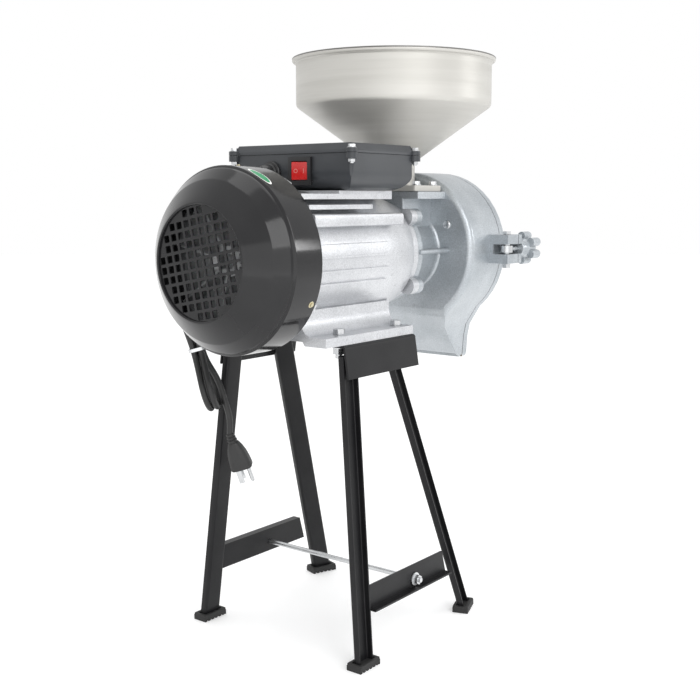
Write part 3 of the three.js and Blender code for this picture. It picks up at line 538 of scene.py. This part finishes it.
def hank_points():
    """Five strands through the tie, joined by wide round loops at both ends. Down, up, down, up and
    down again, each strand leans out a little on both sides of the tie.
    """
    middle = (HANK_TOP - HANK_LOW).length / 2
    bend = 6 * CORD_R
    low = bend + CORD_R
    high = 2 * middle - low
    # The cord comes in from above and round the outside of the upper loops.
    points = [(1.0, 13.0, high + 33.5), (-1.0, 24.0, high + 20.0), (-3.5, 30.0, high + 2.0),
              (-STRAND, 24.0, high - 20.0)]
    for i, (across, third) in enumerate(STRANDS):
        down = 1 if i % 2 == 0 else -1
        flare = TIE_FLARE if third >= 0 else -TIE_FLARE
        points.append((across, third + flare, middle + down * 14.0))
        points.append((across, third, middle + down * 5.0))
        points.append((across, third, middle - down * 5.0))
        points.append((across, third + flare, middle - down * 14.0))
        if i == len(STRANDS) - 1:
            break
        plane = max(across, STRANDS[i + 1][0], key=abs)
        loop = arc(0, low, bend, 18, -198, 12) if down == 1 else arc(0, high, bend, 198, -18, 12)
        points += [(plane, third_at, along_at) for third_at, along_at in loop]
    # Below the tie the last strand moves out sideways, clear of the lower loops.
    points += [(7.0, 8.4, middle - 24), (10.6, 8.4, middle - 36)]
    place = hank_place()
    return [place @ Vector(p) for p in points]


def tail_points():
    """From the hank's last strand to just inside the plug."""
    place = hank_place()
    local = [(12.4, 8.0, 28), (12.4, 8.6, 14), (12.4, 9.2, 0), (12.5, 9.9, -14)]
    return [place @ Vector(p) for p in local] + [PLUG_START + (PLUG_END - PLUG_START) * 0.02]


def smooth_route(points, spacing, relax):
    """Resamples a polyline evenly and relaxes it into one smooth curve with fixed ends."""
    fine_spacing = 1.5
    line = resample(points, fine_spacing)
    for _ in range(relax):
        inner = [(line[i - 1] + line[i] * 2 + line[i + 1]) / 4 for i in range(1, len(line) - 1)]
        line = [line[0], *inner, line[-1]]
    return resample(line, spacing)


def resample(points, spacing):
    """Points at even steps of about the spacing, along a polyline."""
    points = [Vector(p) for p in points]
    lengths = [0.0]
    for a, b in zip(points, points[1:]):
        lengths.append(lengths[-1] + (b - a).length)
    count = max(2, round(lengths[-1] / spacing))
    result = []
    k = 0
    for i in range(count + 1):
        target = lengths[-1] * i / count
        while k < len(points) - 2 and lengths[k + 1] < target:
            k += 1
        share = (target - lengths[k]) / max(lengths[k + 1] - lengths[k], 1e-9)
        result.append(points[k].lerp(points[k + 1], share))
    return result


def make_cord():
    """The whole cord as one tube, from the gland through the hank to the plug."""
    route = [GLAND_TIP, *CORD_ROUTE, *hank_points(), *tail_points()]
    line = smooth_route(route, spacing=6.0, relax=30)
    curve = bpy.data.curves.new("flex", "CURVE")
    curve.dimensions = "3D"
    curve.bevel_depth = CORD_R / 1000
    curve.bevel_resolution = 5
    curve.resolution_u = 4
    curve.use_fill_caps = True
    spline = curve.splines.new("NURBS")
    spline.points.add(len(line) - 1)
    for point, place in zip(spline.points, line):
        point.co = (*(TO_FRAME @ place), 1.0)
    spline.order_u = 4
    spline.use_endpoint_u = True
    curve.materials.append(MATERIALS["cord_black"])
    cord = bpy.data.objects.new("flex_cord", curve)
    bpy.context.scene.collection.objects.link(cord)
    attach(cord, "frame")
    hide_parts("power_cord", "cord_hank", "cord_tail")
    extras = [make_cord_boot(line), *make_plug(), frame["nodes"]["cord_tie"]]


def make_cord_boot(line):
    """Tapered, ringed sleeve where the cord leaves the gland."""
    points = resample(line[:6], BOOT_LENGTH / BOOT_STEPS)[:BOOT_STEPS]
    radii = []
    for i in range(BOOT_STEPS):
        share = i / (BOOT_STEPS - 1)
        ring = 0.45 if i % 4 < 2 and i > 2 else 0.0
        radii.append(6.6 - 2.2 * share + ring)
    bm = bmesh.new()
    tube(bm, points, radii)
    return add_piece("cord_boot", bm, "cord_black")


def plug_section(z, half_x, half_y, power, place, count=32):
    """A rounded section across the plug: a power of 2 is an ellipse, and more is squarer."""
    points = []
    for i in range(count):
        angle = 2 * math.pi * i / count
        c, s = math.cos(angle), math.sin(angle)
        x = half_x * math.copysign(abs(c) ** (2 / power), c)
        y = half_y * math.copysign(abs(s) ** (2 / power), s)
        points.append(place @ Vector((x, y, z)))
    return points


def make_plug():
    """Ringed strain relief and moulded body, with two flat blades and a round ground pin."""
    place = pointing(PLUG_START, PLUG_END - PLUG_START, HANK_SIDE)
    bm = bmesh.new()
    relief = [(0.3, 4.6), (1.5, 5.0), (3.0, 5.0), (3.4, 4.4), (4.4, 4.4), (4.8, 5.6), (6.6, 5.6),
              (7.0, 4.8), (8.0, 4.8), (8.4, 6.1), (10.2, 6.1), (10.6, 5.4), (11.8, 5.4)]
    sections = [plug_section(z, r, r, 2.0, place) for z, r in relief]
    body = [(12.4, 6.4, 6.2, 2.4), (15.0, 7.6, 7.2, 2.6), (20.0, 9.6, 8.4, 2.9),
            (27.0, 11.6, 9.3, 3.3), (36.0, 12.9, 9.8, 3.7), (44.0, 13.4, 10.0, 4.2),
            (46.6, 13.3, 9.9, 4.4), (47.9, 12.2, 9.0, 4.4)]
    sections += [plug_section(z, a, b, power, place) for z, a, b, power in body]
    loft(bm, sections)
    moulded = add_piece("plug_body", bm, "cord_black", bevel=0.4, replaces=["power_plug"])
    # The pins start just inside the body's front face.
    root = 47.0
    metal = bmesh.new()
    for y in (-6.3, 6.3):
        blade = [(-8.0, y - 0.8), (-1.6, y - 0.8), (-1.6, y + 0.8), (-8.0, y + 0.8)]
        prism(metal, blade, root, 65.0, place)
    pin = [(root, 0), (root, 2.4), (66.5, 2.4), (68.2, 1.7), (69.0, 0)]
    lathe(metal, pin, place @ Matrix.Translation((7, 0, 0)), 20)
    pins = add_piece("plug_pins", metal, "zinc", bevel=0.25)
    return [moulded, pins]


# ---- hopper ----
def make_hopper():
    """Spun bowl with a rolled rim, a cone, a neck and a rectangular flange."""
    bm = bmesh.new()
    outer = [(541.0, 29.4), (542.2, 28.4), (544.0, 28.0), (568.4, 28.0), (570.4, 28.5),
             (572.2, 29.9), (638.6, 121.8), (640.6, 123.5), (643.0, 124.2), (646.0, 124.3),
             (692.6, 124.3)]
    rim = arc(697.15, 126.15, 2.85, 190, -95, 16)
    bead = [(z, r) for z, r in rim if r >= 124.2 or z > 697.0]
    inner = [(696.6, 122.8), (643.0, 122.8), (640.9, 121.6), (572.9, 28.0), (570.0, 26.7),
             (535.5, 26.5), (535.5, 29.4)]
    lathe(bm, outer + bead + inner, upright(HOPPER_X, 0, 0), 128, closed=True)
    flange = [(x + HOPPER_X - 0.1, y) for x, y in rounded_rect(29.5, 56.0, 4.0)]
    hole = [(x + HOPPER_X, y) for x, y in circle(29.0, 48)]
    plate(bm, [flange, hole], 7.5, 0.8, upright(0, 0, 533.5))
    add_piece("spun_hopper", bm, "stainless", replaces=["hopper"])


def make_hopper_rim_shadow():
    """A fine dark ring on the rim's rolled edge, darker than the bowl: painted shadow along the rim."""
    bm = bmesh.new()
    lathe(bm, arc(698.9, 128.3, 0.9, 0, 330, 11), upright(HOPPER_X, 0, 0), 128, closed=True)
    add_piece("hopper_rim_shadow", bm, "stainless", material="rim_shadow")


def make_hopper_bolts():
    """A washer and a hexagon head at each corner of the flange."""
    washer = [(541.0, 0), (541.0, 6.2), (542.2, 6.2), (542.2, 0)]
    for i, (x, y) in enumerate(HOPPER_BOLTS):
        bm = bmesh.new()
        lathe(bm, washer, upright(x, y, 0), 28)
        prism(bm, circle(5.0, 6, 0.2 + i), 542.2, 546.2, upright(x, y, 0))
        add_piece(f"hopper_bolt_{i + 1}", bm, "zinc", bevel=0.35)


# ---- stand ----
def sole_outline():
    """Side view of a sole, flat on top and grooved below."""
    points = [(SOLE_HALF_X, 6.4), (-SOLE_HALF_X, 6.4)]
    for k in range(SOLE_GROOVES):
        groove = -SOLE_HALF_X + 2 * SOLE_HALF_X * (k + 0.55) / SOLE_GROOVES
        points += [(groove - 3.3, 0.0), (groove, 0.0), (groove, 1.8), (groove + 2.4, 1.8)]
    points += [(16.4, 0.0), (SOLE_HALF_X, 0.0)]
    return points


def make_foot_shoe(name, replaced, centre):
    """A rubber sole with a raised rim round the leg's end. Centre is its middle on the ground."""
    bm = bmesh.new()
    on_edge = Matrix(((1, 0, 0, 0), (0, 0, -1, 0), (0, 1, 0, 0), (0, 0, 0, 1)))
    prism(bm, sole_outline(), -SOLE_HALF_Y, SOLE_HALF_Y, centre @ on_edge)
    rim = [rounded_rect(SOLE_HALF_X, SOLE_HALF_Y, 2.0), rounded_rect(14.5, 6.0, 1.5)]
    plate(bm, rim, 2.4, 0.4, centre @ Matrix.Translation((0, 0, 6.1)))
    add_piece(name, bm, "rubber", bevel=0.3, replaces=[replaced])


def make_foot_shoes():
    """Four shoes in place of the CAD's plain pads, mirrored from the right side to the left."""
    for end, x, y, turn in FOOT_PADS:
        for side, sign in (("right", -1), ("left", 1)):
            spin = Matrix.Rotation(-sign * math.radians(turn), 4, "Z")
            centre = Matrix.Translation((x, sign * y, 0)) @ spin
            make_foot_shoe(f"foot_shoe_{end}_{side}", f"foot_pad_{end}_{side}", centre)


# ---- motor ----
def grille_holes():
    """Rounded square holes in rows that are turned a little, all within GRILLE_REACH."""
    turn = math.radians(GRILLE_TURN)
    half = GRILLE_HOLE / 2
    square = rounded_rect(half, half, 1.0, 2)
    holes = []
    for i in range(-6, 7):
        for j in range(-6, 7):
            reach = math.hypot(abs(i) * GRILLE_PITCH + half, abs(j) * GRILLE_PITCH + half)
            if reach > GRILLE_REACH:
                continue
            ring = [(x + i * GRILLE_PITCH, y + j * GRILLE_PITCH) for x, y in square]
            holes.append([(x * math.cos(turn) - y * math.sin(turn),
                           x * math.sin(turn) + y * math.cos(turn)) for x, y in ring])
    return holes


def make_fan_cover():
    """Pressed cover: a curled front edge, a sloping shoulder with a crest, a barrel and the grille."""
    bm = bmesh.new()
    outer = [(2.2, 61.2), (0.7, 61.5), (0.1, 62.2), (0.0, 63.0), (0.9, 64.8), (6.0, 71.2),
             (14.0, 80.9), (19.4, 87.2), (20.4, 88.2), (21.6, 89.0), (29.0, 94.8), (33.6, 98.6),
             (35.0, 99.5), (36.0, 99.9), (36.8, 100.0), (37.4, 100.6), (38.0, 101.8),
             (39.2, 102.6), (78.6, 102.6), (80.4, 102.5), (80.7, 102.0)]
    inner = [(80.7, 100.9), (40.0, 100.8), (36.0, 99.2), (32.0, 95.4), (22.6, 85.6), (4.4, 64.4),
             (4.2, 61.2)]
    lathe(bm, outer + inner, along_x(0), 144, closed=True)
    rim = circle(COVER_FRONT_R - 1.2, 96)
    plate(bm, [rim, *grille_holes()], 1.6, 0.3, along_x(2.6))
    add_piece("pressed_fan_cover", bm, "cover_black", replaces=["fan_cover"])


def cover_point(x, angle, out=0.0):
    """A place on the fan cover's barrel: angle in degrees from +Y towards +Z."""
    a = math.radians(angle)
    r = COVER_R + out
    return Vector((x, r * math.cos(a), AXIS_Z + r * math.sin(a)))


def make_cover_screws():
    """Yellowish hexagon screws with round flanges, standing on the cover's barrel."""
    for i, angle in enumerate(COVER_SCREW_ANGLES):
        a = math.radians(angle)
        start = cover_point(COVER_SCREW_X, angle, -0.6)
        place = pointing(start, (0, math.cos(a), math.sin(a)), (1, 0, 0))
        bm = bmesh.new()
        prism(bm, circle(2.6, 6, 0.3), 0.0, 2.2, place)
        lathe(bm, [(0.0, 0), (0.0, 3.8), (0.8, 3.8), (1.1, 3.2), (1.1, 0)], place, 28)
        add_piece(f"cover_screw_{i + 1}", bm, "zinc", bevel=0.3, material="brass")


def make_label():
    """A plain oval label with a pale border, wrapped on the top of the fan cover."""
    steps = 6
    count = 48
    middle_x, middle_angle = LABEL_PLACE
    for name, share, out in (("label_edge", 1.0, 0.12), ("label_face", 0.84, 0.2)):
        bm = bmesh.new()
        centre = bm.verts.new(cover_point(middle_x, middle_angle, out))
        inner = None
        for k in range(1, steps + 1):
            half_x, half_turn = [value * share * k / steps for value in LABEL_HALF]
            ring = []
            for x, y in circle(1.0, count):
                place = cover_point(middle_x + half_x * x, middle_angle + half_turn * y, out)
                ring.append(bm.verts.new(place))
            for i in range(count):
                j = (i + 1) % count
                face = [centre, ring[i], ring[j]]
                if inner:
                    face = [inner[i], ring[i], ring[j], inner[j]]
                bm.faces.new(face)
            inner = ring
        add_piece(name, bm, "cover_black", material="sticker" if share < 1 else "sticker_edge")


def make_neck_nuts():
    """Dome nuts round the motor's neck."""
    dome = [(326.0, 0), (326.0, 6.6), (331.4, 6.6), (333.6, 5.4), (334.8, 3.2), (335.1, 0)]
    for i, angle in enumerate(NECK_NUT_ANGLES):
        a = math.radians(angle)
        y = -NECK_NUT_REACH * math.cos(a)
        z = AXIS_Z + NECK_NUT_REACH * math.sin(a)
        bm = bmesh.new()
        lathe(bm, dome, along_x(0, y, z), 32)
        add_piece(f"neck_nut_{i + 1}", bm, "zinc", bevel=0.3)


# ---- junction box ----
def make_gland():
    """Round collar with a lip, then a domed nose that the cord leaves."""
    bm = bmesh.new()
    profile = [(150.2, 0), (150.2, 13.2), (147.4, 13.4), (146.4, 12.6), (146.2, 11.2), (143.8, 11.0),
               (142.8, 9.7), (137.0, 9.2), (133.0, 8.2), (130.8, 6.7), (130.0, 5.0), (130.0, 0)]
    lathe(bm, profile, along_x(0, GLAND_TIP[1], GLAND_TIP[2]), 48)
    add_piece("gland_collar", bm, "black_plastic", bevel=0.3, replaces=["cable_gland"])


def rocker_face(side):
    """The middle of one half of the tilted rocker, with local X up and local Z outward."""
    turn = Matrix.Rotation(math.radians(ROCKER_TILT), 4, "Z")
    middle = ROCKER_MIDDLE + turn @ Vector((-4.4, 5.2 * side, 0))
    return pointing(middle, turn @ Vector((-0.982, -0.189 * side, 0)))


def make_rocker_marks():
    """A bar and a ring in pale ink, one on each half of the rocker."""
    low, high = -0.1, 0.12
    bar = bmesh.new()
    prism(bar, [(-2.6, -0.4), (2.6, -0.4), (2.6, 0.4), (-2.6, 0.4)], low, high, rocker_face(-1))
    add_piece("rocker_bar", bar, "red_plastic", "switch_rocker", material="rocker_ink")
    ring = bmesh.new()
    section = [(low, 1.7), (high, 1.7), (high, 2.4), (low, 2.4)]
    lathe(ring, section, rocker_face(1), 24, closed=True)
    add_piece("rocker_ring", ring, "red_plastic", "switch_rocker", material="rocker_ink")


def make_lid_screws():
    """A washer and a hexagon head on the lid, with the screw's end and nut under its edge."""
    washer = [(579.9, 0), (579.9, 5.2), (580.7, 5.2), (580.7, 0)]
    shank = [(563.0, 0), (563.0, 2.1), (568.0, 2.1), (568.0, 0)]
    for i, (x, y) in enumerate(LID_SCREWS):
        bm = bmesh.new()
        place = upright(x, y, 0)
        lathe(bm, washer, place, 28)
        prism(bm, circle(4.2, 6, 0.4 * i), 580.7, 583.9, place)
        lathe(bm, shank, place, 16)
        prism(bm, circle(4.2, 6, 0.5), 564.4, 568.0, place)
        add_piece(f"lid_screw_{i + 1}", bm, "zinc", bevel=0.3)


# ---- mill head ----
def make_neck_fillet():
    """Rounded foot of the neck where it runs into the head's back plate."""
    bm = bmesh.new()
    foot = [(383.2, 53.8), (382.4, 52.4), (381.0, 51.2), (379.0, 50.5), (376.0, 50.2),
            (376.0, 48.8), (383.2, 48.8)]
    lathe(bm, foot, along_x(0), 96, closed=True)
    add_piece("neck_fillet", bm, "casting_grey")


def make_plate_screws():
    """Round heads with a raised bar, on the head's back plate."""
    dome = [(383.0, 0), (383.0, 5.4), (381.4, 5.4), (380.3, 4.6), (379.9, 3.0), (379.9, 0)]
    bar = [(-3.6, -0.6), (3.6, -0.6), (3.6, 0.6), (-3.6, 0.6)]
    for i, sign in enumerate((-1, 1)):
        place = along_x(0, sign * PLATE_SCREW_Y, PLATE_SCREW_Z)
        bm = bmesh.new()
        lathe(bm, dome, place, 28)
        prism(bm, bar, 379.4, 380.2, place)
        add_piece(f"plate_screw_{i + 1}", bm, "zinc", bevel=0.2)


def lobed_outline(reach, root, half_width, lobes):
    """Fingers with round ends, and notches between them that stop at the root radius."""
    points = []
    count = lobes * 24
    for i in range(count):
        angle = 2 * math.pi * i / count
        off = angle % (2 * math.pi / lobes) - math.pi / lobes
        tip = reach - half_width
        side = math.sin(off) * tip
        inside = half_width ** 2 - side ** 2
        r = tip * math.cos(off) + math.sqrt(inside) if inside > 0 else 0.0
        r = max(r, root)
        points.append((r * math.cos(angle), r * math.sin(angle)))
    return points


def make_star_nut(side, sign):
    """A six-fingered grip on a round hub, with a low boss at its outer end."""
    place = along_x(0, sign * CLAMP_Y, CLAMP_Z)
    hub = [(467.4, 0), (467.4, 10.6), (474.0, 10.9), (478.0, 13.2), (481.5, 13.6), (481.5, 0)]
    boss = [(498.6, 0), (498.6, 9.0), (500.6, 7.6), (500.8, 0)]
    bm = bmesh.new()
    prism(bm, lobed_outline(21.5, 12.4, 5.9, 6), 481.0, 499.0, place)
    lathe(bm, hub, place, 40)
    lathe(bm, boss, place, 32)
    add_piece(f"star_grip_{side}", bm, "casting_grey", f"star_nut_{side}", bevel=1.6,
              replaces=[f"star_nut_{side}"], segments=3)


# ---- the CAD nodes that stay ----
# Millimetres of rounding for the CAD nodes whose names start like this, and for the others.
ROUNDING = {
    "leg": 0.5, "top_rail": 0.5, "brace": 0.5, "foot_bolt": 0.4, "tie_rod_nut": 0.4,
    "motor_housing": 0.7, "box_base": 1.2, "box_lid": 1.4, "switch_body": 0.6,
    "switch_rocker": 0.8, "mill_casing": 0.9, "front_cover": 1.2, "adjusting_screw": 1.5,
    "hinge_pin": 0.5, "swing_bolt": 0.8,
}
OTHER_ROUNDING = 0.3


def finish_cad_nodes():
    """Finishes each CAD node, with the rounding that the start of its name asks for."""
    slots = {m["node"]: m["material_slot"] for m in frame["record"]["subparts"]}
    for name in frame["nodes"]:
        widths = [width for start, width in ROUNDING.items() if name.startswith(start)]
        finish_node(name, slots[name], widths[0] if widths else OTHER_ROUNDING)


def main():
    make_camera()
    finish_cad_nodes()
    make_cord()
    make_studio()
    make_floor()
    make_foot_shoes()
    make_hopper()
    make_hopper_rim_shadow()
    make_hopper_bolts()
    make_fan_cover()
    make_cover_screws()
    make_label()
    make_neck_nuts()
    make_gland()
    make_rocker_marks()
    make_lid_screws()
    make_neck_fillet()
    make_plate_screws()
    for side, sign in (("right", -1), ("left", 1)):
        make_star_nut(side, sign)


main()
